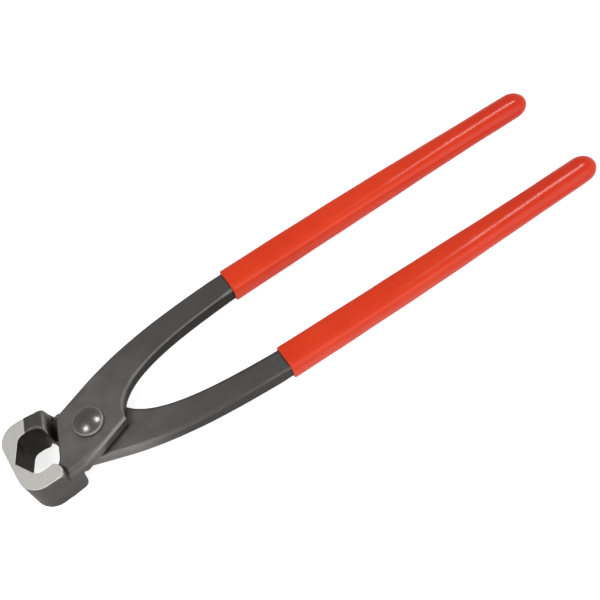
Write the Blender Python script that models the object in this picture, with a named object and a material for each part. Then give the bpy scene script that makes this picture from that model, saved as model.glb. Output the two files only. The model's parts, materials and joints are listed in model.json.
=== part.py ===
"""End-cutting tying pliers: two forged levers lapped on one rivet, with dipped grips on the handles.

All sizes are in metres. The jaws point to -X, the handles to +X and the rivet stands along Z.
The front lever carries the upper lap plate. The rear lever is the same forging turned half a turn
about the X axis. Plan points are given from the pivot, and the finished tool is then set down so
that it is centred on the origin and lies on Z = 0.
"""
import math

import bmesh
import bpy
import numpy as np

# Overall size
OVERALL_LENGTH = 0.280
JAW_REACH = 0.0350
JAW_WIDTH = 0.0200

# Jaws
HEAD_HALF_WIDTH = 0.0169
JAW_CORNER_RADIUS = 0.0090
EDGE_LAND = 0.0020
OPENING_HALF_WIDTH = 0.0100
OPENING_CORNER_RADIUS = 0.0040
JAW_BEVEL = math.radians(60.0)
THROAT_RADIUS = 0.0065
JAW_GAP = 0.0003

# Lap joint
LAP_FRONT = 0.0139
LAP_OUTER = 0.0140
LAP_INNER = 0.0121
LAP_THICKNESS = 0.0062
LAP_GAP = 0.0003
LAP_ANGLE = math.radians(20.0)
LAP_CORNER_RADIUS = 0.0040
HEEL_REACH = 0.0102
NECK_BEND_RADIUS = 0.0150
SHOULDER_GAP = 0.0026
SHOULDER_ROUND = 0.0045
SHOULDER_FILLET = 0.0030
CHEEK_LENGTH = 0.0062
FORGING_DRAFT = 0.0006

# Rivet
RIVET_SHANK_RADIUS = 0.0045
RIVET_HEAD_RADIUS = 0.0067
RIVET_HEAD_RIM = 0.0010
RIVET_DOME = 0.0018
RIVET_FIT = 0.00015
RIVET_SEAT_GAP = 0.0002

# Arms and tangs
ARM_SPREAD = 0.02395
ARM_WIDTH = 0.0110
ARM_THICKNESS = 0.0080
ARM_ROUND = 0.0015
JAW_ROUND = 0.0005
CROTCH_RISE = 0.0160
INNER_SWEEP = 0.0360
OUTER_SWEEP = 0.0280
OUTER_LEAD = 0.0210
ARM_LEAN = math.radians(3.0)
SPLAY_START = 0.0183
TANG_END_WIDTH = 0.0096
TANG_END_THICKNESS = 0.0068
HANDLE_BOW = 0.0006

# Grips
GRIP_LENGTH = 0.1640
GRIP_WALL_SIDE = 0.0015
GRIP_WALL_FACE = 0.0017
GRIP_END_WALL = 0.0085
GRIP_END_ROUND = 0.0075
GRIP_LIP_ROUND = 0.0008
GRIP_FIT = 0.00025
GRIP_SQUARENESS = 0.85
POLE_SHARE = 0.08

# Facets
EDGE_STEPS = 3
FILLET_STEPS = 8
JAW_STEPS = 32
DOME_STEPS = 7
ROUND_STEPS = 40
GRIP_STEPS = 28
GRIP_STATIONS = 12
GRIP_END_STATIONS = 9
TANG_STATIONS = 9
ARM_STATIONS = 22
LAP_STATIONS = 16
NECK_STATIONS = 6
HOOK_STATIONS = 20

# Worked out from the sizes above
HANDLE_REACH = OVERALL_LENGTH - JAW_REACH
GRIP_START = HANDLE_REACH - GRIP_LENGTH
TANG_END = HANDLE_REACH - GRIP_END_WALL
LAP_FACE = LAP_GAP / 2
LAP_TOP = LAP_FACE + LAP_THICKNESS
ALONG = np.array([math.cos(LAP_ANGLE), math.sin(LAP_ANGLE)])
ACROSS = np.array([-math.sin(LAP_ANGLE), math.cos(LAP_ANGLE)])
SHOULDER = -(LAP_FRONT + SHOULDER_GAP)
CHEEK = SHOULDER - CHEEK_LENGTH
PIVOT_PLACE = ((JAW_REACH - HANDLE_REACH) / 2, 0.0, JAW_WIDTH / 2)


def bezier(points, steps):
    """Cubic curve through its first and last control points."""
    t = np.linspace(0.0, 1.0, steps)[:, None]
    a, b, c, d = (np.array(point) for point in points)
    return (1 - t) ** 3 * a + 3 * t * (1 - t) ** 2 * b + 3 * t ** 2 * (1 - t) * c + t ** 3 * d


def arc(centre, radius, start, end, steps):
    """Points on a circle from one angle to another."""
    angle = np.linspace(start, end, steps)
    return np.array(centre) + radius * np.stack([np.cos(angle), np.sin(angle)], axis=1)


def crossing(normal_a, reach_a, normal_b, reach_b):
    """Point where two lines meet, each given by its unit normal and its distance from the pivot."""
    return np.linalg.solve(np.array([normal_a, normal_b]), np.array([reach_a, reach_b]))


def rounded_corner(before, corner, after, radius):
    """Arc that rounds a corner between two straight edges, no longer than the edges allow."""
    inward = before - corner
    outward = after - corner
    room = min(np.linalg.norm(inward), np.linalg.norm(outward))
    inward = inward / np.linalg.norm(inward)
    outward = outward / np.linalg.norm(outward)
    half = math.acos(float(inward @ outward)) / 2
    radius = min(radius, room * math.tan(half))
    centre = corner + (inward + outward) / np.linalg.norm(inward + outward) * radius / math.sin(half)
    first = corner + inward * radius / math.tan(half)
    last = corner + outward * radius / math.tan(half)
    start = math.atan2(*(first - centre)[::-1])
    turn = math.atan2(*(last - centre)[::-1]) - start
    turn = (turn + math.pi) % (2 * math.pi) - math.pi
    return arc(centre, radius, start, start + turn, FILLET_STEPS)


def direction(angle):
    """Unit vector in plan."""
    return np.array([math.cos(angle), math.sin(angle)])


def resampled(points, count):
    """A polyline again, with its points at equal distances."""
    length = np.concatenate([[0.0], np.cumsum(np.linalg.norm(np.diff(points, axis=0), axis=1))])
    wanted = np.linspace(0.0, length[-1], count)
    return np.stack([np.interp(wanted, length, points[:, axis]) for axis in (0, 1)], axis=1)


def split_at(points, station):
    """Where a plan edge first passes a station on the lap's own axis, and the edge from there on."""
    stations = points @ ALONG
    after = max(1, int(np.argmax(stations < station)))
    share = (stations[after - 1] - station) / (stations[after - 1] - stations[after])
    place = points[after - 1] + (points[after] - points[after - 1]) * share
    return place, np.concatenate([place[None], points[after:]])


def front_edge():
    """Plan edge over the lap's far side, down its front, round the opening and along the bevel to the tip."""
    front_normal = direction(math.pi - LAP_ANGLE)
    heel = ALONG * HEEL_REACH + ACROSS * LAP_OUTER
    corner = crossing(ACROSS, LAP_OUTER, front_normal, LAP_FRONT)
    throat = crossing(front_normal, LAP_FRONT, np.array([0.0, -1.0]), OPENING_HALF_WIDTH)
    tip = np.array([EDGE_LAND - JAW_REACH, -JAW_GAP / 2])
    bevel_run = (OPENING_HALF_WIDTH - JAW_GAP / 2) / math.tan(JAW_BEVEL)
    side = np.array([tip[0] + bevel_run, -OPENING_HALF_WIDTH])
    pieces = [
        heel[None],
        rounded_corner(heel, corner, throat, LAP_CORNER_RADIUS),
        rounded_corner(corner, throat, side, THROAT_RADIUS),
        rounded_corner(throat, side, tip, OPENING_CORNER_RADIUS),
        tip[None],
    ]
    return np.concatenate(pieces)


def back_edge():
    """Plan edge from the heel along the lap's near side, the head's side and end to the cutting edge."""
    heel = ALONG * HEEL_REACH - ACROSS * LAP_INNER
    bend = crossing(-ACROSS, LAP_INNER, np.array([0.0, -1.0]), HEAD_HALF_WIDTH)
    corner = np.array([JAW_CORNER_RADIUS - JAW_REACH, JAW_CORNER_RADIUS - HEAD_HALF_WIDTH])
    side_end = corner - [0.0, JAW_CORNER_RADIUS]
    pieces = [
        heel[None],
        rounded_corner(heel, bend, side_end, NECK_BEND_RADIUS),
        arc(corner, JAW_CORNER_RADIUS, 3 * math.pi / 2, math.pi, JAW_STEPS),
        np.array([[-JAW_REACH, -JAW_GAP / 2]]),
    ]
    return np.concatenate(pieces)


def handle_axis(distance):
    """Plan place of the handle's middle line, with its gentle outward bow."""
    share = (distance - GRIP_START) / GRIP_LENGTH
    return np.stack([distance, ARM_SPREAD + HANDLE_BOW * 4 * share * (1 - share)], axis=-1)


def smooth(value):
    """Smooth step from 0 to 1."""
    value = np.clip(value, 0.0, 1.0)
    return value * value * (3 - 2 * value)


def tang_size(distance):
    """Half width and half thickness of the tang, which tapers to its end."""
    taper = (distance - GRIP_START) / (TANG_END - GRIP_START)
    half_width = (ARM_WIDTH + (TANG_END_WIDTH - ARM_WIDTH) * taper) / 2
    half_height = (ARM_THICKNESS + (TANG_END_THICKNESS - ARM_THICKNESS) * taper) / 2
    return half_width, half_height


def tang_stations():
    """Cross-sections of the tang inside the grip, from its end to the grip's mouth."""
    rows = []
    side = np.array([0.0, 1.0])
    distance = np.linspace(TANG_END, GRIP_START, TANG_STATIONS)
    for middle, half, height in zip(handle_axis(distance), *tang_size(distance)):
        rows.append((middle - side * half, middle + side * half, -height, height, ARM_ROUND))
    return rows


def arm_stations():
    """Cross-sections of the curved arm, which sinks from its lap layer to the middle plane."""
    rows = []
    lean = direction(ARM_LEAN)
    heel = ALONG * HEEL_REACH - ACROSS * LAP_INNER
    far_heel = ALONG * HEEL_REACH + ACROSS * LAP_OUTER
    inner_end = np.array([GRIP_START, ARM_SPREAD - ARM_WIDTH / 2])
    outer_end = np.array([GRIP_START, ARM_SPREAD + ARM_WIDTH / 2])
    inner_curve = [heel, heel + [0.0, CROTCH_RISE], inner_end - lean * INNER_SWEEP, inner_end]
    outer_curve = [far_heel, far_heel + ALONG * OUTER_LEAD, outer_end - lean * OUTER_SWEEP, outer_end]
    inner = bezier(inner_curve, ARM_STATIONS)[-2:0:-1]
    outer = bezier(outer_curve, ARM_STATIONS)[-2:0:-1]
    for low, high in zip(inner, outer):
        out = (low + high) @ ALONG / 2
        share = smooth((out - SPLAY_START) / (GRIP_START - SPLAY_START))
        foot = LAP_FACE - (ARM_THICKNESS / 2 + LAP_FACE) * share
        top = LAP_TOP + (ARM_THICKNESS / 2 - LAP_TOP) * share
        rows.append((low, high, foot, top, ARM_ROUND))
    return rows


def head_stations():
    """Cross-sections of the lap plate, the full-width neck behind the shoulder and the hooked jaw."""
    rows = []
    jaw = JAW_WIDTH / 2
    front = front_edge()
    back = back_edge()
    lap = np.linspace(HEEL_REACH, SHOULDER + SHOULDER_FILLET, LAP_STATIONS)
    turn = np.linspace(0.0, math.pi / 2, FILLET_STEPS)[1:]
    stations = np.concatenate([lap, SHOULDER + SHOULDER_FILLET * (1 - np.sin(turn))])
    feet = np.concatenate([np.full(len(lap), LAP_FACE), LAP_FACE - SHOULDER_FILLET * (1 - np.cos(turn))])
    for station, foot in zip(stations, feet):
        rows.append((split_at(back, station)[0], split_at(front, station)[0], foot, LAP_TOP, ARM_ROUND))
    for inset in np.linspace(0.0, CHEEK_LENGTH - FORGING_DRAFT, NECK_STATIONS):
        station = SHOULDER - FORGING_DRAFT - inset
        left = max(0.0, SHOULDER_ROUND - inset)
        tuck = SHOULDER_ROUND - math.sqrt(SHOULDER_ROUND ** 2 - left ** 2)
        low = split_at(back, station)[0]
        high = split_at(front, station)[0]
        rows.append((low, high, -jaw, LAP_TOP, ARM_ROUND, tuck))
    front_hook = resampled(split_at(front, CHEEK - FORGING_DRAFT)[1], HOOK_STATIONS)
    back_hook = resampled(split_at(back, CHEEK - FORGING_DRAFT)[1], HOOK_STATIONS)
    for low, high in zip(back_hook, front_hook):
        rows.append((low, high, -jaw, jaw, JAW_ROUND))
    return rows


def section_ring(low, high, foot, top, edge, tuck=0.0, grow=0.0):
    """Rounded rectangle on a plan segment, tucked in at its low foot and enlarged by an allowance."""
    width = np.linalg.norm(high - low)
    span = (high - low) / width
    radius = min(edge, width / 2, (top - foot) / 2) + grow
    near = radius - grow
    far = width + grow - radius
    under = foot - grow + radius
    over = top + grow - radius
    ring = []
    for quarter, (plan, height) in enumerate(((far, over), (near, over), (near + tuck, under), (far, under))):
        for step in range(EDGE_STEPS):
            angle = (quarter + step / (EDGE_STEPS - 1)) * math.pi / 2
            place = low + span * (plan + radius * math.cos(angle))
            ring.append((place[0], place[1], height + radius * math.sin(angle)))
    return ring


def lofted(name, rings):
    """Closed skin over a row of rings, capped at both ends."""
    shape = bmesh.new()
    loops = [[shape.verts.new(point) for point in ring] for ring in rings]
    count = len(loops[0])
    for one, two in zip(loops, loops[1:]):
        for index in range(count):
            after = (index + 1) % count
            shape.faces.new((one[index], one[after], two[after], two[index]))
    shape.faces.new(loops[0])
    shape.faces.new(loops[-1])
    bmesh.ops.recalc_face_normals(shape, faces=shape.faces)
    mesh = bpy.data.meshes.new(name)
    shape.to_mesh(mesh)
    shape.free()
    return mesh


def turned(name, profile):
    """Solid of revolution about Z from (radius, height) points that run from pole to pole."""
    shape = bmesh.new()
    poles = [shape.verts.new((0.0, 0.0, height)) for radius, height in (profile[0], profile[-1])]
    loops = []
    for radius, height in profile[1:-1]:
        turn = [2 * math.pi * step / ROUND_STEPS for step in range(ROUND_STEPS)]
        loops.append([shape.verts.new((radius * math.cos(a), radius * math.sin(a), height)) for a in turn])
    for index in range(ROUND_STEPS):
        after = (index + 1) % ROUND_STEPS
        shape.faces.new((poles[0], loops[0][index], loops[0][after]))
        shape.faces.new((poles[1], loops[-1][after], loops[-1][index]))
        for one, two in zip(loops, loops[1:]):
            shape.faces.new((one[index], two[index], two[after], one[after]))
    bmesh.ops.recalc_face_normals(shape, faces=shape.faces)
    mesh = bpy.data.meshes.new(name)
    shape.to_mesh(mesh)
    shape.free()
    return mesh


def placed(name, mesh, parent, turned_over=False):
    """Object with its origin on the rivet's axis, turned half round the X axis for the rear lever."""
    thing = bpy.data.objects.new(name, mesh)
    bpy.context.scene.collection.objects.link(thing)
    thing.parent = parent
    if turned_over:
        thing.rotation_euler = (math.pi, 0.0, 0.0)
    return thing


def cut(thing, name, mesh):
    """Take a hidden cutter's shape out of an object."""
    cutter = placed(name, mesh, thing)
    cutter.hide_render = True
    cutter.display_type = "WIRE"
    boolean = thing.modifiers.new(name, "BOOLEAN")
    boolean.operation = "DIFFERENCE"
    boolean.solver = "EXACT"
    boolean.object = cutter


def finished(thing, colour, roughness, metallic, sharp_angle):
    """Give an object its own material and smooth shading."""
    material = bpy.data.materials.new(thing.name)
    material.use_nodes = True
    shader = material.node_tree.nodes["Principled BSDF"]
    shader.inputs["Base Color"].default_value = (*colour, 1.0)
    shader.inputs["Roughness"].default_value = roughness
    shader.inputs["Metallic"].default_value = metallic
    thing.data.materials.append(material)
    thing.data.shade_smooth()
    thing.data.set_sharp_from_angle(angle=math.radians(sharp_angle))


def lever(name, parent, turned_over):
    """Forged lever with jaw, lap plate, arm and tang, and the rivet's hole through the lap."""
    rings = [section_ring(*row) for row in tang_stations() + arm_stations() + head_stations()]
    thing = placed(name, lofted(name, rings), parent, turned_over)
    hole = RIVET_SHANK_RADIUS + RIVET_FIT
    reach = LAP_TOP + LAP_THICKNESS
    profile = [(0, reach), (hole, reach), (hole, -reach), (0, -reach)]
    cut(thing, name + "_hole", turned(name + "_hole", profile))
    finished(thing, colour=(0.10, 0.098, 0.095), roughness=0.45, metallic=0.85, sharp_angle=35.0)


def rivet(parent):
    """Solid rivet with a domed head on each side of the lap."""
    seat = LAP_TOP + RIVET_SEAT_GAP
    rim = seat + RIVET_HEAD_RIM
    sphere = (RIVET_HEAD_RADIUS ** 2 + RIVET_DOME ** 2) / (2 * RIVET_DOME)
    half = math.asin(RIVET_HEAD_RADIUS / sphere)
    head = []
    for step in range(DOME_STEPS):
        angle = half * step / (DOME_STEPS - 1)
        head.append((sphere * math.sin(angle), rim + RIVET_DOME - sphere * (1 - math.cos(angle))))
    head += [(RIVET_HEAD_RADIUS, seat), (RIVET_SHANK_RADIUS, seat)]
    tail = [(radius, -height) for radius, height in reversed(head)]
    thing = placed("pivot_rivet", turned("pivot_rivet", head + tail), parent)
    finished(thing, colour=(0.13, 0.125, 0.125), roughness=0.3, metallic=0.95, sharp_angle=30.0)


def grip_ring(middle, half_width, half_height):
    """Oval section of the grip, a little squarer than an ellipse."""
    ring = []
    for step in range(GRIP_STEPS):
        angle = 2 * math.pi * step / GRIP_STEPS
        across = math.copysign(abs(math.cos(angle)) ** GRIP_SQUARENESS, math.cos(angle)) * half_width
        up = math.copysign(abs(math.sin(angle)) ** GRIP_SQUARENESS, math.sin(angle)) * half_height
        ring.append((middle[0], middle[1] + across, up))
    return ring


def grip(name, parent, turned_over):
    """Dipped sleeve over a tang, closed and rounded at the handle's end."""
    body_end = HANDLE_REACH - GRIP_END_ROUND
    lip_turn = np.linspace(0.0, math.pi / 2, EDGE_STEPS)
    lip = GRIP_START + GRIP_LIP_ROUND * (1 - np.cos(lip_turn))
    body = np.linspace(GRIP_START + 2 * GRIP_LIP_ROUND, body_end, GRIP_STATIONS)
    cap_turn = np.linspace(0.0, math.pi / 2, GRIP_END_STATIONS)[1:]
    cap = body_end + GRIP_END_ROUND * np.sin(cap_turn)
    pull = np.concatenate([GRIP_LIP_ROUND * (1 - np.sin(lip_turn)), np.zeros(len(body) + len(cap))])
    shrink = np.concatenate([np.ones(len(lip) + len(body)), np.maximum(np.cos(cap_turn), POLE_SHARE)])
    distance = np.concatenate([lip, body, cap])
    rings = []
    for middle, wide, high, less, part in zip(handle_axis(distance), *tang_size(distance), pull, shrink):
        half_width = (wide + GRIP_WALL_SIDE - less) * part
        half_height = (high + GRIP_WALL_FACE - less) * part
        rings.append(grip_ring(middle, half_width, half_height))
    thing = placed(name, lofted(name, rings), parent, turned_over)

    tang = tang_stations()
    bore = [section_ring(*row, grow=GRIP_FIT) for row in tang]
    ahead = np.array([GRIP_FIT, 0.0])
    for place, row, shift in ((0, tang[0], ahead), (len(bore) + 1, tang[-1], -ahead)):
        bore.insert(place, section_ring(row[0] + shift, row[1] + shift, *row[2:], grow=GRIP_FIT))
    cut(thing, name + "_bore", lofted(name + "_bore", bore))
    finished(thing, colour=(0.80, 0.055, 0.03), roughness=0.3, metallic=0.0, sharp_angle=50.0)


def build():
    """Clear the scene and make the five pieces round the rivet's axis."""
    for old in list(bpy.data.objects):
        bpy.data.objects.remove(old, do_unlink=True)
    pivot = bpy.data.objects.new("pivot_axis", None)
    bpy.context.scene.collection.objects.link(pivot)
    pivot.location = PIVOT_PLACE
    lever("front_lever", pivot, False)
    lever("rear_lever", pivot, True)
    rivet(pivot)
    grip("front_grip", pivot, False)
    grip("rear_grip", pivot, True)


build()
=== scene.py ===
import json
import math
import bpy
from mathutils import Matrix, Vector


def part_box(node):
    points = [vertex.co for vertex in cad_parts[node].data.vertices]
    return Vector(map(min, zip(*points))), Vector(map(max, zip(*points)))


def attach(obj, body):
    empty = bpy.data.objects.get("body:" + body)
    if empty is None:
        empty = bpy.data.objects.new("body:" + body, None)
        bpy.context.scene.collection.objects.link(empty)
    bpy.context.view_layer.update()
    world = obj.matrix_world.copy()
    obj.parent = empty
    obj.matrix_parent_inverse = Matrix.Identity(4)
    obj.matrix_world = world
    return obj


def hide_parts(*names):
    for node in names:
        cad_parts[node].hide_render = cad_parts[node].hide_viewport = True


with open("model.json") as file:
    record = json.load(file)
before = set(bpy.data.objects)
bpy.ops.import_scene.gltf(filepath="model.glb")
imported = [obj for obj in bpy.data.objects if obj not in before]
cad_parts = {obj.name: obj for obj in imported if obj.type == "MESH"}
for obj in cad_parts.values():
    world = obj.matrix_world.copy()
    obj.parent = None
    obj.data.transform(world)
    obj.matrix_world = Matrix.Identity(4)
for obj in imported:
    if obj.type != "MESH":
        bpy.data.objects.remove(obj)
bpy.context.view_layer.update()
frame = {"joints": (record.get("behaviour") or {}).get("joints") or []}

from types import SimpleNamespace

import bpy
import numpy as np
from mathutils import Matrix

# Levers: two equal drop forgings of tool steel, the rear one turned over under the front one. Each is a hooked
# jaw, a lap plate with the rivet's hole, a curved arm and a tang. The forgings are tumbled and phosphated to a
# dark satin grey, and then the jaws' side faces are ground bright.
PIVOT = np.array(frame["joints"][0]["pos_m"])
LEVER_LOW, LEVER_HIGH = (np.array(corner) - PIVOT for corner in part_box("front_lever"))
GRIP_LOW, GRIP_HIGH = (np.array(corner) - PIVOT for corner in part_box("front_grip"))
JAW_REACH = -LEVER_LOW[0]
JAW_HALF = LEVER_HIGH[2]
HEAD_HALF_WIDTH = -LEVER_LOW[1]
TANG_END = LEVER_HIGH[0]
GRIP_START = GRIP_LOW[0]
HANDLE_REACH = GRIP_HIGH[0]
GRIP_LENGTH = HANDLE_REACH - GRIP_START

# The hooked jaw and the opening inside it.
JAW_CORNER_RADIUS = 0.0090
EDGE_LAND = 0.0020
OPENING_HALF_WIDTH = 0.0100
OPENING_CORNER_RADIUS = 0.0040
JAW_BEVEL = math.radians(60.0)
THROAT_RADIUS = 0.0065
JAW_GAP = 0.00004

# The lap plate, the neck beside it and the shoulder that the other lap turns against.
LAP_FRONT = 0.0139
LAP_OUTER = 0.0140
LAP_INNER = 0.0121
LAP_FACE = 0.00015
LAP_TOP = 0.00635
LAP_ANGLE = math.radians(20.0)
LAP_CORNER_RADIUS = 0.0040
HEEL_REACH = 0.0102
NECK_BEND_RADIUS = 0.0150
NECK_END = -0.02335
SHOULDER = -0.0165
SHOULDER_DRAFT = 0.0002
SHOULDER_FILLET = 0.0030
SHOULDER_EDGE = 0.0018
SHOULDER_ROUND = 0.0045
RIVET_HOLE_RADIUS = 0.00465

# The cheek, which stands up from the neck with a round end, and the ground face of the jaw.
CHEEK_END = -0.0211
CHEEK_ASIDE = -0.0052
CHEEK_RADIUS = 0.00385
CHEEK_FULLNESS = 2.3
CHEEK_WALL = 0.0009
CHEEK_RUN = 0.0040
GROUND_START = -0.02575
GROUND_LIMIT = NECK_END + 0.001
GROUND_RUN = 0.0005
GROUND_STEP = 0.0003

# The curved arm and the tang.
ARM_SPREAD = 0.02395
ARM_WIDTH = 0.0110
ARM_THICKNESS = 0.0080
CROTCH_RISE = 0.0160
INNER_SWEEP = 0.0360
OUTER_SWEEP = 0.0280
OUTER_LEAD = 0.0210
ARM_LEAN = math.radians(3.0)
SPLAY_START = 0.0183
TANG_END_WIDTH = 0.0096
TANG_END_THICKNESS = 0.0068
HANDLE_BOW = 0.0006
GRIP_LEAD = 0.0080

# Edge roundings, the most of the height that a foot rounding may take, and the forging's waves with their phases.
EDGE_ROUND = 0.0015
ARM_EDGE_ROUND = 0.0009
NECK_ROUND = 0.0037
NECK_FOOT_ROUND = 0.0025
GROUND_EDGE_ROUND = 0.0004
LOW_FOOT_SHARE = 0.28
HIGH_FOOT_SHARE = 0.4
FORGING_WAVE = 0.00006
WAVE_ALONG = (310.0, 1.3)
WAVE_ACROSS = (420.0, 0.4)

# Zones: where each begins along the lap's own axis, and the run over which it comes in, negative towards the jaw.
NECK_ZONE = (-0.0030, -0.0140)
JAW_ZONE = (NECK_END + 0.0030, -0.0080)
MOUTH_ZONE = (SHOULDER - 0.001, -0.004)
ROUGH_ZONE = (SHOULDER - 0.001, -0.002)
ROOT_START_ZONE = (SHOULDER - SHOULDER_DRAFT - 0.0004, 0.0008)
ROOT_END_ZONE = (SHOULDER + SHOULDER_FILLET, -SHOULDER_FILLET)
LAP_END_ZONE = (HEEL_REACH - 0.001, 0.004)
ARM_ZONE = (0.012, 0.050)
CROTCH_ZONE = (0.015, 0.020)

# Rows of the lever's skin from the tang to the cutting edge, and the columns of each strip round a row.
TANG_ROWS = 10
ARM_ROWS = 128
LAP_ROWS = 90
BEND_ROWS = 13
WALL_ROWS = 4
NECK_ROWS = 39
HOOK_ROWS = 149
CORNER_POINTS = 24
JAW_CORNER_POINTS = 64
CORNER_COLUMNS = 9
FACE_COLUMNS = 34
FLANK_COLUMNS = 8
UPPER_COLUMNS = 2 * CORNER_COLUMNS + FACE_COLUMNS
STRIP_COLUMNS = (UPPER_COLUMNS, FLANK_COLUMNS, CORNER_COLUMNS, FACE_COLUMNS, CORNER_COLUMNS, FLANK_COLUMNS)

ALONG = np.array([math.cos(LAP_ANGLE), math.sin(LAP_ANGLE)])
ACROSS = np.array([-math.sin(LAP_ANGLE), math.cos(LAP_ANGLE)])
CHEEK_CENTRE = ALONG * (CHEEK_END - CHEEK_RADIUS) + ACROSS * CHEEK_ASIDE


def rise(value, start, run):
    """Smooth step: 3v^2 - 2v^3, where v is how far the value is along the run, held between 0 and 1.

    With a negative run it rises towards smaller values."""
    share = np.clip((value - start) / run, 0.0, 1.0)
    return share * share * (3 - 2 * share)


def blend(share, one, two):
    """Straight mix: the first value plus the share of the way to the second."""
    return one + (two - one) * share


def drop(offset, radius):
    """How far a quarter circle of the given radius falls at an offset from the side that it meets."""
    inside = np.clip(radius - offset, 0.0, radius)
    return radius - np.sqrt(radius ** 2 - inside ** 2)


def unit(vector):
    """A vector divided by its length."""
    return np.asarray(vector) / np.linalg.norm(vector)


def full_turn(count):
    """Angles spread evenly round a full turn."""
    return np.linspace(0.0, 2 * math.pi, count, endpoint=False)


def bezier(points, share):
    """Cubic curve: the four control points weighted by the Bernstein polynomials of the share along it."""
    a, b, c, d = (np.asarray(point) for point in points)
    t = share[:, None]
    return (1 - t) ** 3 * a + 3 * t * (1 - t) ** 2 * b + 3 * t ** 2 * (1 - t) * c + t ** 3 * d


def arc(centre, radius, start, end, count):
    """Circle: centre plus radius times (cosine, sine) of evenly spread angles."""
    angle = np.linspace(start, end, count)
    return np.asarray(centre) + radius * np.stack([np.cos(angle), np.sin(angle)], axis=1)


def rounded_corner(before, corner, after, radius):
    """Arc tangent to both straight edges of a corner, its centre on the corner's bisector."""
    inward = unit(before - corner)
    outward = unit(after - corner)
    half = math.acos(float(inward @ outward)) / 2
    centre = corner + unit(inward + outward) * radius / math.sin(half)
    first = corner + inward * radius / math.tan(half) - centre
    last = corner + outward * radius / math.tan(half) - centre
    start = math.atan2(first[1], first[0])
    turn = (math.atan2(last[1], last[0]) - start + math.pi) % (2 * math.pi) - math.pi
    return arc(centre, radius, start, start + turn, CORNER_POINTS)


def meeting(normal_a, reach_a, normal_b, reach_b):
    """Point where two straight edges meet, each given by its unit normal and its distance from the pivot."""
    return np.linalg.solve(np.array([normal_a, normal_b]), np.array([reach_a, reach_b]))


def at_station(edge, stations):
    """Points where a plan edge passes the given distances along the lap's own axis."""
    along = edge @ ALONG
    run = slice(int(np.argmin(along)), None, -1)
    return np.stack([np.interp(stations, along[run], edge[run, axis]) for axis in (0, 1)], axis=1)


def beyond(edge, station):
    """The rest of a plan edge after it passes a station."""
    first = int(np.argmax(edge @ ALONG < station))
    return np.concatenate([at_station(edge, np.array([station])), edge[first:]])


def spaced(edge, share):
    """Points of a plan edge at the given shares of its length."""
    length = np.concatenate([[0.0], np.cumsum(np.linalg.norm(np.diff(edge, axis=0), axis=1))])
    return np.stack([np.interp(share * length[-1], length, edge[:, axis]) for axis in (0, 1)], axis=1)


def along_grip(distance):
    """Share of the grip's length that lies before a distance from the pivot."""
    return (distance - GRIP_START) / GRIP_LENGTH


def handle_axis(distance):
    """Middle line of a handle: a constant spread plus a parabola for its gentle outward bow."""
    share = along_grip(distance)
    return np.stack([distance, ARM_SPREAD + HANDLE_BOW * 4 * share * (1 - share)], axis=-1)


def tang_size(distance):
    """Half width and half thickness of the tang, which taper evenly to its end."""
    taper = (distance - GRIP_START) / (TANG_END - GRIP_START)
    width = blend(taper, ARM_WIDTH, TANG_END_WIDTH)
    return width / 2, blend(taper, ARM_THICKNESS, TANG_END_THICKNESS) / 2


def lever_edges():
    """The two plan edges from the heel to the cutting edge: straight lines with rounded corners between them."""
    front_normal = np.array([-math.cos(LAP_ANGLE), math.sin(LAP_ANGLE)])
    down = np.array([0.0, -1.0])
    far_heel = ALONG * HEEL_REACH + ACROSS * LAP_OUTER
    corner = meeting(ACROSS, LAP_OUTER, front_normal, LAP_FRONT)
    throat = meeting(front_normal, LAP_FRONT, down, OPENING_HALF_WIDTH)
    tip = np.array([EDGE_LAND - JAW_REACH, -JAW_GAP / 2])
    side = np.array([tip[0] + (OPENING_HALF_WIDTH - JAW_GAP / 2) / math.tan(JAW_BEVEL), -OPENING_HALF_WIDTH])
    front = np.concatenate([
        far_heel[None],
        rounded_corner(far_heel, corner, throat, LAP_CORNER_RADIUS),
        rounded_corner(corner, throat, side, THROAT_RADIUS),
        rounded_corner(throat, side, tip, OPENING_CORNER_RADIUS),
        tip[None],
    ])
    heel = ALONG * HEEL_REACH - ACROSS * LAP_INNER
    bend = meeting(-ACROSS, LAP_INNER, down, HEAD_HALF_WIDTH)
    turn = np.array([JAW_CORNER_RADIUS - JAW_REACH, JAW_CORNER_RADIUS - HEAD_HALF_WIDTH])
    back = np.concatenate([
        heel[None],
        rounded_corner(heel, bend, turn + down * JAW_CORNER_RADIUS, NECK_BEND_RADIUS),
        arc(turn, JAW_CORNER_RADIUS, 1.5 * math.pi, math.pi, JAW_CORNER_POINTS),
        np.array([[-JAW_REACH, -JAW_GAP / 2]]),
    ])
    return back, front


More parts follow.
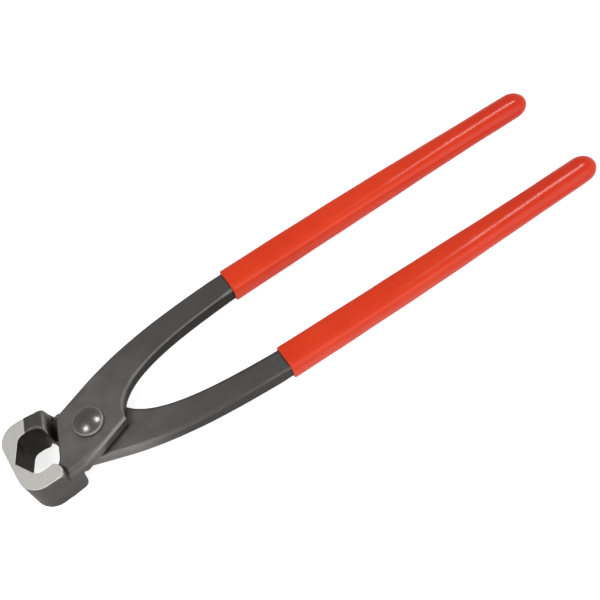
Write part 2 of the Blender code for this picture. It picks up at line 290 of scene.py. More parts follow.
def lever_rows():
    """Cross-sections from the tang's end to the cutting edge.

    Each row is a plan segment from the low to the high edge, with its foot and top heights and the tuck that
    rounds the shoulder's outer corner. The shoulder is a concave quarter circle, a wall and a convex one."""
    back, front = lever_edges()
    side = np.array([0.0, 1.0])
    distance = np.linspace(TANG_END, GRIP_START, TANG_ROWS)
    half_width, half_height = tang_size(distance)
    tang_low = handle_axis(distance) - side * half_width[:, None]
    tang_high = handle_axis(distance) + side * half_width[:, None]

    lean = np.array([math.cos(ARM_LEAN), math.sin(ARM_LEAN)])
    inner_end = np.array([GRIP_START, ARM_SPREAD - ARM_WIDTH / 2])
    outer_end = np.array([GRIP_START, ARM_SPREAD + ARM_WIDTH / 2])
    share = np.linspace(1.0, 0.0, ARM_ROWS + 2)[1:-1]
    arm_low = bezier([back[0], back[0] + side * CROTCH_RISE, inner_end - lean * INNER_SWEEP, inner_end], share)
    arm_high = bezier([front[0], front[0] + ALONG * OUTER_LEAD, outer_end - lean * OUTER_SWEEP, outer_end], share)
    sink = rise((arm_low + arm_high) @ ALONG / 2, SPLAY_START, GRIP_START - SPLAY_START)

    lap = np.linspace(HEEL_REACH, SHOULDER + SHOULDER_FILLET, LAP_ROWS)
    bend = np.linspace(0.0, math.pi / 2, BEND_ROWS + 1)[1:]
    wall = np.linspace(0.0, 1.0, WALL_ROWS + 1)[1:]
    wall_end = SHOULDER - SHOULDER_DRAFT
    neck = np.linspace(wall_end - SHOULDER_EDGE, NECK_END, NECK_ROWS + 1)[1:]
    fillet_foot = LAP_FACE - SHOULDER_FILLET * (1 - np.cos(bend))
    station = np.concatenate([
        lap,
        SHOULDER + SHOULDER_FILLET * (1 - np.sin(bend)),
        SHOULDER - SHOULDER_DRAFT * wall,
        wall_end - SHOULDER_EDGE * (1 - np.cos(bend)),
        neck,
    ])
    head_foot = np.concatenate([
        np.full(len(lap), LAP_FACE),
        fillet_foot,
        blend(wall, fillet_foot[-1], SHOULDER_EDGE - JAW_HALF),
        SHOULDER_EDGE * (1 - np.sin(bend)) - JAW_HALF,
        np.full(len(neck), -JAW_HALF),
    ])
    tuck = drop(SHOULDER - station, SHOULDER_ROUND) * rise(head_foot, LAP_FACE, -SHOULDER_FILLET)

    hook = np.linspace(0.0, 1.0, HOOK_ROWS + 1)[1:]
    low = np.concatenate([tang_low, arm_low, at_station(back, station), spaced(beyond(back, NECK_END), hook)])
    high = np.concatenate([tang_high, arm_high, at_station(front, station), spaced(beyond(front, NECK_END), hook)])
    arm_foot = blend(sink, LAP_FACE, -ARM_THICKNESS / 2)
    arm_top = blend(sink, LAP_TOP, ARM_THICKNESS / 2)
    foot = np.concatenate([-half_height, arm_foot, head_foot, np.full(len(hook), -JAW_HALF)])
    top = np.concatenate([half_height, arm_top, np.full(len(station) + len(hook), LAP_TOP)])
    tuck = np.concatenate([np.zeros(len(distance) + len(share)), tuck, np.zeros(len(hook))])
    return low, high, foot, top, tuck


def cheek_cover(place):
    """Share of the cheek's height at a plan place, and how far outside its round end the place lies.

    The end is a half superellipse in the lap's own axes, and the height falls by a smooth step outside it."""
    away = place - CHEEK_CENTRE
    ahead = away @ ALONG
    aside = np.abs(away @ ACROSS)
    reach = (np.maximum(ahead, 0.0) ** CHEEK_FULLNESS + aside ** CHEEK_FULLNESS) ** (1 / CHEEK_FULLNESS)
    outside = np.where(ahead > 0, reach, 0.0) - CHEEK_RADIUS
    return 1 - rise(outside, 0.0, CHEEK_WALL), outside


def round_rows(count, *strips):
    """Six strips set side by side round every row, each value spread over its strip's own columns.

    They are the upper side with both its corners, the low flank, the low foot corner, the foot, the high foot
    corner and the high flank."""
    spread = [np.broadcast_to(strip, (count, columns)) for strip, columns in zip(strips, STRIP_COLUMNS)]
    return np.concatenate(spread, axis=1)


def lever_skin():
    """Rings of points over the whole lever, and the fields that its marks are worked out from.

    Every corner of a cross-section is a quarter circle and every side between them is straight. The cheek is
    lifted out of the top face by its cover, and the forging's waves are a product of two sines."""
    low, high, foot, top, tuck = (column[:, None] for column in lever_rows())
    width = np.linalg.norm(high - low, axis=2)
    span = (high - low) / width[..., None]
    station = ((low + high) @ ALONG) / 2
    head = station < SHOULDER
    low_cover = np.where(head, cheek_cover(low)[0], 0.0)
    high_cover = np.where(head, cheek_cover(high)[0], 0.0)
    on_neck = rise(station, *NECK_ZONE)
    on_jaw = rise(station, *JAW_ZONE)
    on_arm = rise(station, *ARM_ZONE)
    in_grip = rise((low + high)[..., 0] / 2, GRIP_START - GRIP_LEAD, GRIP_LEAD)
    full_cheek = rise(low @ ALONG, CHEEK_END - CHEEK_RADIUS, -CHEEK_RUN)

    edge_round = blend(on_arm * (1 - in_grip), EDGE_ROUND, ARM_EDGE_ROUND)
    low_top = blend(full_cheek, blend(on_neck, edge_round, NECK_ROUND), GROUND_EDGE_ROUND)
    high_top = blend(high_cover, edge_round, GROUND_EDGE_ROUND)
    low_foot = blend(on_jaw, blend(on_neck, EDGE_ROUND, NECK_FOOT_ROUND), GROUND_EDGE_ROUND)
    low_foot = np.minimum(low_foot, LOW_FOOT_SHARE * (top - foot))
    high_foot = blend(on_jaw, EDGE_ROUND, GROUND_EDGE_ROUND)
    high_foot = np.minimum(high_foot, HIGH_FOOT_SHARE * (top - foot))

    turn = np.linspace(0.0, math.pi / 2, CORNER_COLUMNS + 2)[1:-1]
    sine = np.sin(turn)
    cosine = np.cos(turn)
    share = np.linspace(0.0, 1.0, FACE_COLUMNS)
    flank = np.linspace(0.0, 1.0, FLANK_COLUMNS)
    upper_offset = np.concatenate([
        width - high_top * (1 - cosine),
        blend(share, width - high_top, low_top),
        low_top * (1 - sine),
    ], axis=1)
    upper_place = low + span * upper_offset[..., None]
    cover, outside = cheek_cover(upper_place)
    cover = np.where(head, cover, 0.0)
    outside = np.where(head, outside, 1.0)
    (pace_x, phase_x), (pace_y, phase_y) = WAVE_ALONG, WAVE_ACROSS
    wave = np.sin(upper_place[..., 0] * pace_x + phase_x) * np.sin(upper_place[..., 1] * pace_y + phase_y)
    neck_height = top - drop(upper_offset, low_top) - drop(width - upper_offset, high_top)
    neck_height = neck_height - FORGING_WAVE * (0.5 + 0.5 * wave)
    cheek_height = JAW_HALF - drop(upper_offset, GROUND_EDGE_ROUND) - drop(width - upper_offset, GROUND_EDGE_ROUND)

    foot_offset = blend(share, tuck + low_foot, width - high_foot)
    foot_place = low + span * foot_offset[..., None]
    whetted = np.where(station < GROUND_LIMIT, rise(foot_place @ ALONG, GROUND_START, -GROUND_RUN), 0.0)
    foot_height = foot + GROUND_STEP * whetted
    over_low = blend(low_cover, top - low_top, JAW_HALF - GROUND_EDGE_ROUND)
    over_high = blend(high_cover, top - high_top, JAW_HALF - GROUND_EDGE_ROUND)
    under_low = foot_height[:, :1] + low_foot
    under_high = foot_height[:, -1:] + high_foot
    offset = round_rows(
        len(low),
        upper_offset,
        tuck * flank,
        tuck + low_foot * (1 - cosine),
        foot_offset,
        width - high_foot * (1 - sine),
        width,
    )
    height = round_rows(
        len(low),
        blend(cover, neck_height, cheek_height),
        blend(flank, over_low, under_low),
        under_low - low_foot * sine,
        foot_height,
        under_high - high_foot * cosine,
        blend(flank, under_high, over_high),
    )
    fields = SimpleNamespace(
        station=station, on_neck=on_neck, on_jaw=on_jaw, on_arm=on_arm, high_cover=high_cover, cover=cover,
        outside=outside, inset=np.minimum(upper_offset, width - upper_offset), low_inset=upper_offset,
        low_top=low_top, whetted=whetted, turn=turn)
    return np.concatenate([low + span * offset[..., None], height[..., None]], axis=2), fields


# Where the grinding shows on the cheek and round its corners, as a start and a run.
BRIGHT_COVER = (0.94, 0.05)
BRIGHT_INSET = (0.00002, 0.00010)
BRIGHT_TURN = (0.5, 0.5)

# How far the tumbling has rubbed the edges bare, and the painted light on the lap's and the heel's sides.
RUBBED_EDGE = 0.28
RUBBED_OUTER_ARM = 0.5
LAP_SIDE_PAINTED_LIGHT = 0.10
HEEL_SIDE_PAINTED_LIGHT = 0.15

# How dark the painted shade is in the corners, at the cheek's foot, under the jaw, in the opening and on the
# sides.
CHEEK_FOOT_LINE = 0.9 * CHEEK_WALL
CHEEK_FOOT_SPREAD = 0.0005
CHEEK_FOOT_SHADE = 0.7
NECK_EDGE_REACH = 1.2
NECK_EDGE_SHADE = 0.38
INNER_ARM_SHADE = 0.85
INNER_ARM_FOOT_SHADE = 0.6
OUTER_ARM_SHADE = 0.6
OUTER_ARM_FOOT_SHADE = 0.45
NECK_SIDE_SHADE = 0.46
JAW_SIDE_SHADE = 0.53
JAW_FOOT_SHADE = 0.45
JAW_CORNER_SHADE = 0.35
SHOULDER_ROOT_SHADE = 0.65
OPENING_SHADE = 0.85
OPENING_FOOT_SHADE = 0.5


def lever_marks(lever):
    """What each point of the lever shows, from 0 to 1: ground bright, rubbed bare or lit by painted light, or dark
    with painted shade.

    Each is a product of smooth steps along the lever and across its section. The rubbing follows the sine of
    twice the angle round a corner, and the line of painted shadow at the cheek's foot is a bell curve."""
    count = len(lever.station)
    shine = rise(lever.turn, *BRIGHT_TURN)
    ground = round_rows(
        count,
        rise(lever.cover, *BRIGHT_COVER) * rise(lever.inset, *BRIGHT_INSET),
        0.0,
        lever.whetted[:, :1] * shine,
        lever.whetted,
        lever.whetted[:, -1:] * shine[::-1],
        0.0,
    )

    past_lap = rise(lever.station, *LAP_END_ZONE)
    past_crotch = rise(lever.station, *CROTCH_ZONE)
    off_neck = 1 - lever.on_neck
    edge = RUBBED_EDGE * np.sin(2 * lever.turn)
    upper_edges = np.concatenate([
        edge * (1 - lever.high_cover) * blend(lever.on_arm, 1.0, RUBBED_OUTER_ARM),
        np.zeros((count, FACE_COLUMNS)),
        edge * off_neck,
    ], axis=1)
    # Edge wear round the corners, and painted light on the lap's and the heel's sides.
    wear_and_painted_light = round_rows(
        count,
        upper_edges,
        LAP_SIDE_PAINTED_LIGHT * (1 - past_lap) * off_neck,
        edge * off_neck,
        0.0,
        edge,
        HEEL_SIDE_PAINTED_LIGHT * (1 - past_crotch),
    )

    in_opening = rise(lever.station, *MOUTH_ZONE)
    on_rough = rise(lever.station, *ROUGH_ZONE)
    root = rise(lever.station, *ROOT_START_ZONE) * rise(lever.station, *ROOT_END_ZONE)
    # Painted shade that dulls the neck's rounded low edge.
    neck_edge = rise(lever.low_inset, NECK_EDGE_REACH * lever.low_top, -lever.low_top)
    neck_edge = neck_edge * lever.on_neck * (1 - lever.cover)
    # A painted shadow line at the foot of the cheek's wall.
    cheek_foot = np.exp(-((lever.outside - CHEEK_FOOT_LINE) / CHEEK_FOOT_SPREAD) ** 2)
    head_side = blend(lever.on_jaw, NECK_SIDE_SHADE * lever.on_neck, JAW_SIDE_SHADE)
    # Painted shade on the sides, the feet, the jaw's corners, the shoulder's root and the opening.
    painted_shade = round_rows(
        count,
        np.maximum(CHEEK_FOOT_SHADE * cheek_foot, NECK_EDGE_SHADE * neck_edge),
        np.maximum(INNER_ARM_SHADE * past_lap, head_side),
        np.maximum(JAW_CORNER_SHADE * on_rough, INNER_ARM_FOOT_SHADE * past_lap),
        np.maximum(SHOULDER_ROOT_SHADE * root, JAW_FOOT_SHADE * on_rough),
        np.maximum(OPENING_FOOT_SHADE * in_opening, OUTER_ARM_FOOT_SHADE * past_crotch),
        np.maximum(OPENING_SHADE * in_opening, OUTER_ARM_SHADE * past_crotch),
    )
    return {"ground": ground, "wear_and_painted_light": wear_and_painted_light, "painted_shade": painted_shade}


def lofted(name, rings, poles, marks=None):
    """Closed skin: quads between neighbouring rings, and a fan from the first and the last ring to their poles."""
    rows, count = rings.shape[:2]
    index = np.arange(rows * count).reshape(rows, count)
    after = np.roll(index, -1, axis=1)
    quads = np.stack([index[:-1], index[1:], after[1:], after[:-1]], axis=-1).reshape(-1, 4)
    first = np.stack([np.full(count, rows * count), index[0], after[0]], axis=-1)
    last = np.stack([np.full(count, rows * count + 1), after[-1], index[-1]], axis=-1)
    mesh = bpy.data.meshes.new(name)
    vertices = np.concatenate([rings.reshape(-1, 3), np.asarray(poles)])
    mesh.from_pydata(vertices, [], quads.tolist() + first.tolist() + last.tolist())
    for title, value in (marks or {}).items():
        attribute = mesh.attributes.new(title, "FLOAT", "POINT")
        attribute.data.foreach_set("value", np.concatenate([value.ravel(), [0.0, 0.0]]).astype(np.float32))
    mesh.shade_smooth()
    thing = bpy.data.objects.new(name, mesh)
    bpy.context.scene.collection.objects.link(thing)
    return thing


DRILL_SIDES = 96
LEVER_CREASE = math.radians(40.0)


def bored(thing, radius, reach):
    """Take a round hole along the rivet's axis out of a piece, and keep the result as its mesh."""
    angle = full_turn(DRILL_SIDES)
    circle = np.stack([np.cos(angle) * radius, np.sin(angle) * radius], axis=1)
    ends = [np.column_stack([circle, np.full(DRILL_SIDES, height)]) for height in (reach, -reach)]
    drill = lofted("drill", np.stack(ends) + PIVOT, [PIVOT + [0, 0, reach], PIVOT - [0, 0, reach]])
    hole = thing.modifiers.new("hole", "BOOLEAN")
    hole.operation = "DIFFERENCE"
    hole.solver = "EXACT"
    hole.object = drill
    cut = bpy.data.meshes.new_from_object(thing.evaluated_get(bpy.context.evaluated_depsgraph_get()))
    thing.modifiers.clear()
    thing.data = cut
    bpy.data.objects.remove(drill)
    cut.set_sharp_from_angle(angle=LEVER_CREASE)


def nodes_of(name):
    """A new material with its node tree, its shader and its Object coordinates."""
    material = bpy.data.materials.new(name)
    material.use_nodes = True
    tree = material.node_tree
    place = tree.nodes.new("ShaderNodeTexCoord").outputs["Object"]
    return material, tree, tree.nodes["Principled BSDF"], place


def noise(tree, place, scale, detail, stretch=(1, 1, 1)):
    """Noise of the given number of lumps per metre, drawn out along an axis by a small stretch number."""
    mapping = tree.nodes.new("ShaderNodeMapping")
    mapping.inputs["Scale"].default_value = stretch
    texture = tree.nodes.new("ShaderNodeTexNoise")
    texture.inputs["Scale"].default_value = scale
    texture.inputs["Detail"].default_value = detail
    tree.links.new(place, mapping.inputs["Vector"])
    tree.links.new(mapping.outputs["Vector"], texture.inputs["Vector"])
    return texture.outputs["Fac"]


def ranged(tree, value, low, high, to_low=0.0, to_high=1.0):
    """Straight map of a value from one range to another, held at the ends."""
    node = tree.nodes.new("ShaderNodeMapRange")
    for socket, number in zip(("From Min", "From Max", "To Min", "To Max"), (low, high, to_low, to_high)):
        node.inputs[socket].default_value = number
    tree.links.new(value, node.inputs["Value"])
    return node.outputs["Result"]


def combined(tree, way, one, two):
    """Two values put together in one of the Math node's ways, such as their product or the larger one."""
    node = tree.nodes.new("ShaderNodeMath")
    node.operation = way
    tree.links.new(one, node.inputs[0])
    tree.links.new(two, node.inputs[1])
    return node.outputs["Value"]


def split_axes(tree, place):
    """The three coordinates of a place, by their letters."""
    node = tree.nodes.new("ShaderNodeSeparateXYZ")
    tree.links.new(place, node.inputs["Vector"])
    return node.outputs


def mixed(tree, share, one, two, kind="RGBA"):
    """One colour or number passing into another by a share; each end is a value or another node's output."""
    node = tree.nodes.new("ShaderNodeMix")
    node.data_type = kind
    factor, first, second, result = {"RGBA": (0, 6, 7, 2), "FLOAT": (0, 2, 3, 0)}[kind]
    tree.links.new(share, node.inputs[factor])
    for socket, end in ((first, one), (second, two)):
        if isinstance(end, bpy.types.NodeSocket):
            tree.links.new(end, node.inputs[socket])
        else:
            node.inputs[socket].default_value = (*end, 1.0) if kind == "RGBA" else end
    return node.outputs[result]


def bumped(tree, height, depth, under=None):
    """Bump of a height pattern of the given depth in metres, laid over another bump."""
    node = tree.nodes.new("ShaderNodeBump")
    node.inputs["Strength"].default_value = 1.0
    node.inputs["Distance"].default_value = depth
    tree.links.new(height, node.inputs["Height"])
    if under is not None:
        tree.links.new(under, node.inputs["Normal"])
    return node.outputs["Normal"]


def mark(tree, name):
    """A piece's own point attribute."""
    node = tree.nodes.new("ShaderNodeAttribute")
    node.attribute_name = name
    return node.outputs["Fac"]


# The steel's colours, its patterns in lumps per metre with their detail, and the parts of their range in use.
DARK_STEEL = (0.175, 0.163, 0.153)
PALE_PHOSPHATE = (0.216, 0.202, 0.190)
# The arm's colour is painted shade: the steel is painted darker away from the lap.
ARM_PAINTED_SHADE_STEEL = (0.099, 0.097, 0.093)
# Pale steel of worn edges, also used as painted light on the lap's and the heel's sides.
WORN_AND_LIT_STEEL = (0.40, 0.39, 0.38)
# Dark steel for the random specks and for the painted shade.
SPECK_AND_SHADE_STEEL = (0.022, 0.020, 0.016)
GROUND_STEEL = (0.75, 0.745, 0.705)
GROUND_GROOVE = (0.655, 0.65, 0.615)
MOTTLE = (120, 5)
GRAIN = (700, 4)
PATCHES = (160, 3)
DENTS = (240, 3)
GRINDING_LINES = (5200, 3)
GRINDING_STRETCH = (1.0, 0.04, 1.0)
MIDDLE_BAND = (0.35, 0.65)
WIDE_BAND = (0.3, 0.7)
PATCH_BAND = (0.30, 0.60)
PATCH_SHARE = (0.35, 1.0)
SPECK_BAND = (0.60, 0.72)
SPECK_SHARE = 0.15
# Where the painted shade along the arm begins and ends, and how much of it there is.
ARM_SHADE_START = PIVOT[0] + 0.008
ARM_SHADE_END = PIVOT[0] + 0.040
ARM_SHADE_SHARE = 0.85
SATIN_ROUGHNESS = (0.40, 0.50)
GROUND_ROUGHNESS = (0.46, 0.54)
DENT_DEPTH = 0.00008
GRAIN_DEPTH = 0.00002


def forged_steel():
    """Phosphated forging: mottled dark grey with dark specks, painted shade darker along the arm, in the corners
    and on the sides, painted light on the lap's and the heel's sides, bright on rubbed edges and ground faces.
    """
    material, tree, shader, place = nodes_of("forged_steel")
    grain = noise(tree, place, *GRAIN)
    mottle = ranged(tree, noise(tree, place, *MOTTLE), *MIDDLE_BAND)
    colour = mixed(tree, mottle, DARK_STEEL, PALE_PHOSPHATE)
    # Painted shade: the arm's colour darkens away from the lap.
    arm = ranged(tree, split_axes(tree, place)["X"], ARM_SHADE_START, ARM_SHADE_END, 0.0, ARM_SHADE_SHARE)
    colour = mixed(tree, arm, colour, ARM_PAINTED_SHADE_STEEL)
    speck = ranged(tree, grain, *SPECK_BAND, 0.0, SPECK_SHARE)
    colour = mixed(tree, speck, colour, SPECK_AND_SHADE_STEEL)
    patchy = ranged(tree, noise(tree, place, *PATCHES), *PATCH_BAND, *PATCH_SHARE)
    # Pale edge wear, and painted light on the lap's and the heel's sides.
    colour = mixed(tree, combined(tree, "MULTIPLY", mark(tree, "wear_and_painted_light"), patchy), colour, WORN_AND_LIT_STEEL)
    # Painted shade: darker sides, feet, corners, shoulder root and opening, and a painted shadow at the cheek's
    # foot.
    colour = mixed(tree, mark(tree, "painted_shade"), colour, SPECK_AND_SHADE_STEEL)
    lines = noise(tree, place, *GRINDING_LINES, stretch=GRINDING_STRETCH)
    ground = mark(tree, "ground")
    bright = mixed(tree, ranged(tree, lines, *MIDDLE_BAND), GROUND_GROOVE, GROUND_STEEL)
    tree.links.new(mixed(tree, ground, colour, bright), shader.inputs["Base Color"])
    satin = ranged(tree, grain, *WIDE_BAND, *SATIN_ROUGHNESS)
    polish = ranged(tree, lines, *WIDE_BAND, *GROUND_ROUGHNESS)
    tree.links.new(mixed(tree, ground, satin, polish, "FLOAT"), shader.inputs["Roughness"])
    shader.inputs["Metallic"].default_value = 1.0
    dents = bumped(tree, noise(tree, place, *DENTS), DENT_DEPTH)
    rough = bumped(tree, mixed(tree, ground, grain, lines, "FLOAT"), GRAIN_DEPTH, dents)
    tree.links.new(rough, shader.inputs["Normal"])
    return material


points, lever = lever_skin()
marks = lever_marks(lever)
steel = forged_steel()
for name, body, side in (("front_lever", "front_half", 1.0), ("rear_lever", "rear_half", -1.0)):
    rings = points * [1.0, side, side] + PIVOT
    piece = lofted(name + "_forging", rings, [rings[0].mean(axis=0), rings[-1].mean(axis=0)], marks)
    bored(piece, RIVET_HOLE_RADIUS, 2 * LAP_TOP)
    piece.data.materials.clear()
    piece.data.materials.append(steel)
    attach(piece, body)
    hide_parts(name)

# Pivot rivet: one solid steel rivet through both lap plates. Its two heads are pressed to a low dome and
# polished by the tumbling, with a small rounded rim that stands on the lap; its paler colour is a painted
# highlight.
RIVET_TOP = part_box("pivot_rivet")[1].z - PIVOT[2]
RIVET_HEAD_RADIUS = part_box("pivot_rivet")[1].x - PIVOT[0]
RIVET_SHANK_RADIUS = 0.0045
RIVET_SEAT_GAP = 0.0002
RIVET_SEAT = LAP_TOP + RIVET_SEAT_GAP
RIVET_RIM = 0.0010
RIVET_RIM_ROUND = 0.0004
RIVET_RIM_BAND = (RIVET_HEAD_RADIUS - 0.0009, 0.0004)
RIVET_CAP_SPAN = (0.02, 0.955)
RIVET_CAP_RINGS = 40
RIVET_RIM_RINGS = 8
RIVET_SIDES = 160
RIVET_CREASE = math.radians(50.0)
RIVET_STEEL = (0.165, 0.156, 0.153)
RIVET_STEEL_PALE = (0.200, 0.190, 0.186)
# The rim's paler colour is a painted highlight ring.
RIVET_RIM_PAINTED_HIGHLIGHT = (0.30, 0.29, 0.28)
RIVET_BLOOM = (400, 4)
RIVET_SCUFFS = (700, 3)
RIVET_DENTS = (300, 2)
RIVET_ROUGHNESS = (0.22, 0.25)
RIVET_RIM_ROUGHNESS = 0.5
RIVET_DENT_DEPTH = 0.00001


def rivet_skin():
    """Profile turned about the rivet's axis: a spherical cap, a rounded rim, the seat and the shank, twice."""
    rim_top = RIVET_SEAT + RIVET_RIM
    dome = RIVET_TOP - rim_top
    sphere = (RIVET_HEAD_RADIUS ** 2 + dome ** 2) / (2 * dome)
    half = math.asin(RIVET_HEAD_RADIUS / sphere)
    bend = np.linspace(*RIVET_CAP_SPAN, RIVET_CAP_RINGS) * half
    cap = np.stack([sphere * np.sin(bend), RIVET_TOP - sphere * (1 - np.cos(bend))], axis=1)
    middle = (RIVET_HEAD_RADIUS - RIVET_RIM_ROUND, cap[-1, 1] - RIVET_RIM_ROUND * math.cos(half))
    rim = arc(middle, RIVET_RIM_ROUND, math.pi / 2 - half, 0.0, RIVET_RIM_RINGS)
    foot = np.array([[RIVET_HEAD_RADIUS, RIVET_SEAT], [RIVET_SHANK_RADIUS, RIVET_SEAT]])
    head = np.concatenate([cap, rim, foot])
    profile = np.concatenate([head, head[::-1] * [1, -1]])
    angle = full_turn(RIVET_SIDES)
    turned = np.stack([np.cos(angle), np.sin(angle)], axis=1)
    rings = np.empty((len(profile), len(angle), 3))
    rings[..., :2] = profile[:, None, :1] * turned[None]
    rings[..., 2] = profile[:, 1:]
    edge = rise(profile[:, :1], *RIVET_RIM_BAND) * np.ones(len(angle))
    return rings, {"rim": edge}


rings, marks = rivet_skin()
poles = [PIVOT + [0, 0, RIVET_TOP], PIVOT - [0, 0, RIVET_TOP]]
piece = lofted("pivot_rivet_turned", rings + PIVOT, poles, marks)
piece.data.set_sharp_from_angle(angle=RIVET_CREASE)
material, tree, shader, place = nodes_of("rivet_steel")
rim = mark(tree, "rim")
bloom = ranged(tree, noise(tree, place, *RIVET_BLOOM), *MIDDLE_BAND)
# The rim's paler colour is a painted highlight ring round the head.
colour = mixed(tree, rim, mixed(tree, bloom, RIVET_STEEL, RIVET_STEEL_PALE), RIVET_RIM_PAINTED_HIGHLIGHT)
tree.links.new(colour, shader.inputs["Base Color"])
polish = ranged(tree, noise(tree, place, *RIVET_SCUFFS), *WIDE_BAND, *RIVET_ROUGHNESS)
tree.links.new(mixed(tree, rim, polish, RIVET_RIM_ROUGHNESS, "FLOAT"), shader.inputs["Roughness"])
shader.inputs["Metallic"].default_value = 1.0
tree.links.new(bumped(tree, noise(tree, place, *RIVET_DENTS), RIVET_DENT_DEPTH), shader.inputs["Normal"])
piece.data.materials.append(material)
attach(piece, "front_half")
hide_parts("pivot_rivet")

# Grips: the tangs are dipped in red vinyl, which sets to a glossy sleeve with a rounded closed end and a thin
# rolled lip at its mouth. It follows the flat tang at the mouth and grows rounder to its end. Its red is painted
# darker towards the closed end as painted shade.
GRIP_WALL_SIDE = 0.0015
GRIP_WALL_FACE = 0.0017
GRIP_END_ROUND = 0.0075
GRIP_END_SPAN = 0.97 * math.pi / 2
MOUTH_SQUARENESS = 0.58
END_SQUARENESS = 0.95
BORE_SQUARENESS = 0.32
BORE_FIT = 0.00018
LIP_ROUND = 0.0007
LIP_FLARE = 0.00015
RUN_DEPTH = 0.00012
RUN_WAVES = ((210.0, 0.7), (92.0, 2.1))
ROUNDING_ZONE = (0.3, 0.6)
# Where the painted shade towards the closed end comes in.
END_SHADE_ZONE = (0.35, 0.6)
GRIP_SIDES = 128
GRIP_END_RINGS = 24
GRIP_BODY_RINGS = 138
LIP_RINGS = 8
BORE_RINGS = 30
RED_VINYL = (0.775, 0.050, 0.010)
# Darker red for the random clouds and for the painted shade towards the closed end.
DARK_RED_CLOUD_AND_SHADE = (0.585, 0.016, 0.004)
CLOUDS = (45, 3)
CLOUD_SHARE = 0.25
END_SHADE_SHARE = 0.50
VINYL_BLOOM = (200, 3)
VINYL_ROUGHNESS = (0.16, 0.21)
VINYL_SPECULAR = 0.28
VINYL_RIPPLES = (110, 1)
RIPPLE_DEPTH = 0.00010


def oval(middle, half_width, half_height, squareness, angle):
    """Rings of a superellipse: powers of cosine and sine, keeping their signs, times the half sizes."""
    cosine = np.sign(np.cos(angle)) * np.abs(np.cos(angle)) ** squareness[:, None]
    sine = np.sign(np.sin(angle)) * np.abs(np.sin(angle)) ** squareness[:, None]
    rings = np.empty((len(middle), len(angle), 3))
    rings[..., 0] = middle[:, :1]
    rings[..., 1] = middle[:, 1:] + half_width[:, None] * cosine
    rings[..., 2] = half_height[:, None] * sine
    return rings


def grip_skin():
    """Outer skin from the closed end to the mouth, a half-round lip, and the bore back along the tang.

    The vinyl is thinned along its length by two sines, which stand for the runs of the dip."""
    angle = full_turn(GRIP_SIDES)
    body_end = HANDLE_REACH - GRIP_END_ROUND
    cap_turn = np.linspace(GRIP_END_SPAN, 0.0, GRIP_END_RINGS)
    lip_turn = np.linspace(0.0, math.pi / 2, LIP_RINGS)
    distance = np.concatenate([
        body_end + GRIP_END_ROUND * np.sin(cap_turn),
        np.linspace(body_end, GRIP_START + LIP_ROUND, GRIP_BODY_RINGS + 2)[1:-1],
        GRIP_START + LIP_ROUND * (1 - np.sin(lip_turn)),
    ])
    shrink = np.ones(len(distance))
    shrink[:GRIP_END_RINGS] = np.cos(cap_turn)
    pull = np.zeros(len(distance))
    pull[-LIP_RINGS:] = LIP_ROUND * (1 - np.cos(lip_turn))
    half_width, half_height = tang_size(distance)
    run = 0.5 + 0.25 * sum(np.sin(distance * pace + phase) for pace, phase in RUN_WAVES)
    thin = RUN_DEPTH * run + pull
    squareness = blend(rise(along_grip(distance), *ROUNDING_ZONE), MOUTH_SQUARENESS, END_SQUARENESS)
    outer = oval(handle_axis(distance), (half_width + GRIP_WALL_SIDE - thin) * shrink,
                 (half_height + GRIP_WALL_FACE - thin) * shrink, squareness, angle)
    inside = np.concatenate([
        GRIP_START + LIP_ROUND * 0.5 * (1 - np.cos(lip_turn)),
        np.linspace(GRIP_START + LIP_ROUND, TANG_END + BORE_FIT, BORE_RINGS),
    ])
    flare = np.full(len(inside), BORE_FIT)
    flare[:LIP_RINGS] += LIP_FLARE * (1 - np.sin(lip_turn))
    bore_width, bore_height = tang_size(inside)
    inner = oval(handle_axis(inside), bore_width + flare, bore_height + flare,
                 np.full(len(inside), BORE_SQUARENESS), angle)
    rings = np.concatenate([outer, inner])
    # Painted shade: the red darkens towards the closed end.
    return rings, {"painted_end_shade": END_SHADE_SHARE * rise(along_grip(rings[..., 0]), *END_SHADE_ZONE)}


skin, marks = grip_skin()
end_pole = np.array([HANDLE_REACH, *handle_axis(np.array([HANDLE_REACH]))[0, 1:], 0.0])
bore_pole = skin[-1].mean(axis=0)
material, tree, shader, place = nodes_of("red_vinyl")
cloud = ranged(tree, noise(tree, place, *CLOUDS), *MIDDLE_BAND, 0.0, CLOUD_SHARE)
colour = mixed(tree, cloud, RED_VINYL, DARK_RED_CLOUD_AND_SHADE)
# Painted shade deepens the red towards the closed end.
tree.links.new(mixed(tree, mark(tree, "painted_end_shade"), colour, DARK_RED_CLOUD_AND_SHADE), shader.inputs["Base Color"])
bloom = ranged(tree, noise(tree, place, *VINYL_BLOOM), *WIDE_BAND, *VINYL_ROUGHNESS)
tree.links.new(bloom, shader.inputs["Roughness"])
shader.inputs["Specular IOR Level"].default_value = VINYL_SPECULAR
tree.links.new(bumped(tree, noise(tree, place, *VINYL_RIPPLES), RIPPLE_DEPTH), shader.inputs["Normal"])
for name, body, side in (("front_grip", "front_half", 1.0), ("rear_grip", "rear_half", -1.0)):
    rings = skin * [1.0, side, side] + PIVOT
    poles = [pole * [1.0, side, side] + PIVOT for pole in (end_pole, bore_pole)]
    piece = lofted(name + "_sleeve", rings, poles, marks)
    piece.data.materials.append(material)
    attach(piece, body)
    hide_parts(name)

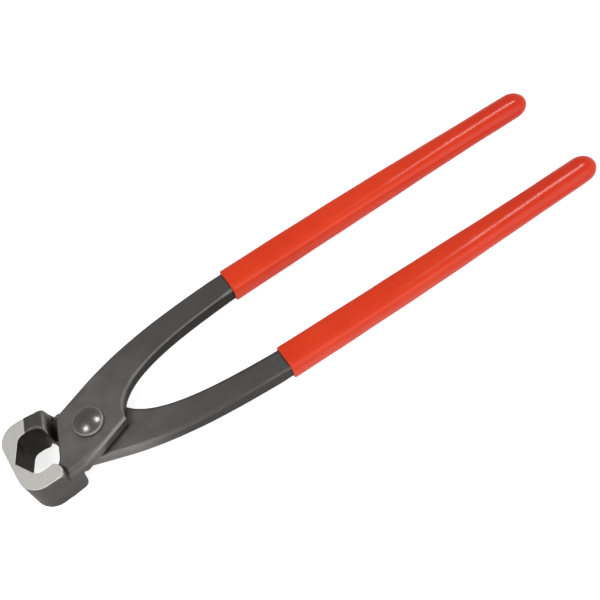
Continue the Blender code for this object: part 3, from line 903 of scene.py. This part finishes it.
# Studio: a white paper floor, a white surround that is dimmer behind the tool, two small soft boxes above the
# head and a large one before the handles. A soft box is a way from the pivot, a width in metres and its watts.
FLOOR_HALF = 3.0
FLOOR_WHITE = (0.78, 0.78, 0.78)
FLOOR_ROUGHNESS = 0.9
FLOOR_LIFT = 0.72
FLOOR_GLOSS = 0.20
WHITE = (1.0, 1.0, 1.0, 1.0)
HORIZON_LEVEL = 0.96
ZENITH_LEVEL = 0.50
FRONT_SHARE = 1.25
BACK_SHARE = 0.52
BOX_DISTANCE = 8.0
SOFT_BOXES = {
    "left_soft_box": ((-0.355, 0.043, 0.934), 1.75, 98.0),
    "right_soft_box": ((0.45, 0.19, 0.872), 1.50, 92.0),
    "front_soft_box": ((0.25, -0.80, 0.57), 7.0, 140.0),
}

mesh = bpy.data.meshes.new("paper_floor")
corners = np.array([[-1, -1, 0], [1, -1, 0], [1, 1, 0], [-1, 1, 0]]) * FLOOR_HALF
mesh.from_pydata(corners.tolist(), [], [(0, 1, 2, 3)])
floor = bpy.data.objects.new("paper_floor", mesh)
bpy.context.scene.collection.objects.link(floor)
material, tree, shader, place = nodes_of("white_paper")
shader.inputs["Base Color"].default_value = (*FLOOR_WHITE, 1.0)
shader.inputs["Roughness"].default_value = FLOOR_ROUGHNESS
shader.inputs["Specular IOR Level"].default_value = 0.0
shader.inputs["Emission Color"].default_value = WHITE
rays = tree.nodes.new("ShaderNodeLightPath").outputs
seen = ranged(tree, rays["Is Camera Ray"], 0.0, 1.0, 0.0, FLOOR_LIFT)
mirrored = ranged(tree, rays["Is Glossy Ray"], 0.0, 1.0, 0.0, FLOOR_GLOSS)
tree.links.new(combined(tree, "MAXIMUM", seen, mirrored), shader.inputs["Emission Strength"])
mesh.materials.append(material)

world = bpy.data.worlds.new("white_surround")
world.use_nodes = True
bpy.context.scene.world = world
tree = world.node_tree
sky = tree.nodes["Background"]
sky.inputs["Color"].default_value = WHITE
way = split_axes(tree, tree.nodes.new("ShaderNodeTexCoord").outputs["Generated"])
height_level = ranged(tree, way["Z"], 0.0, 1.0, HORIZON_LEVEL, ZENITH_LEVEL)
depth_share = ranged(tree, way["Y"], -1.0, 1.0, FRONT_SHARE, BACK_SHARE)
level = combined(tree, "MULTIPLY", height_level, depth_share)
seen = tree.nodes.new("ShaderNodeLightPath").outputs["Is Camera Ray"]
tree.links.new(combined(tree, "MAXIMUM", level, seen), sky.inputs["Strength"])


def turned(right, up, back):
    """Euler angles of a thing whose own axes point to its right, up and back."""
    axes = Matrix.Identity(3)
    axes.col[0], axes.col[1], axes.col[2] = right, up, back
    return axes.to_euler()


for name, (way, size, watts) in SOFT_BOXES.items():
    lamp = bpy.data.lights.new(name, "AREA")
    lamp.size = size
    lamp.energy = watts
    box = bpy.data.objects.new(name, lamp)
    bpy.context.scene.collection.objects.link(box)
    way = unit(way)
    side = unit(np.cross([0.0, 1.0, 0.0], way))
    box.location = PIVOT + way * BOX_DISTANCE
    box.rotation_euler = turned(side, np.cross(way, side), way)
    box.visible_camera = False

# Camera: above the tool and before its head, rolled so that the handles run up to the right.
VIEW_TILT = 0.53975
VIEW_LEAN = -0.16344
VIEW_ROLL = 0.67038
VIEW_DISTANCE = 0.45036
VIEW_AIM = PIVOT + [0.10264, -0.00133, 0.0]
VIEW_SENSOR = 36.0
VIEW_LENS = 62.607
VIEW_SHIFT = (0.0005, -0.0025)
camera = bpy.data.objects.new("camera", bpy.data.cameras.new("camera"))
bpy.context.scene.collection.objects.link(camera)
toward = np.array([
    math.sin(VIEW_LEAN), -math.sin(VIEW_TILT) * math.cos(VIEW_LEAN), math.cos(VIEW_TILT) * math.cos(VIEW_LEAN)])
up = unit(np.array([0.0, 1.0, 0.0]) - toward * toward[1])
right = np.cross(up, toward)
camera.location = VIEW_AIM + toward * VIEW_DISTANCE
camera.rotation_euler = turned(
    right * math.cos(VIEW_ROLL) - up * math.sin(VIEW_ROLL),
    right * math.sin(VIEW_ROLL) + up * math.cos(VIEW_ROLL),
    toward,
)
camera.data.sensor_width = VIEW_SENSOR
camera.data.lens = VIEW_LENS
camera.data.shift_x, camera.data.shift_y = VIEW_SHIFT
bpy.context.scene.camera = camera
bpy.context.scene.view_settings.view_transform = "Standard"
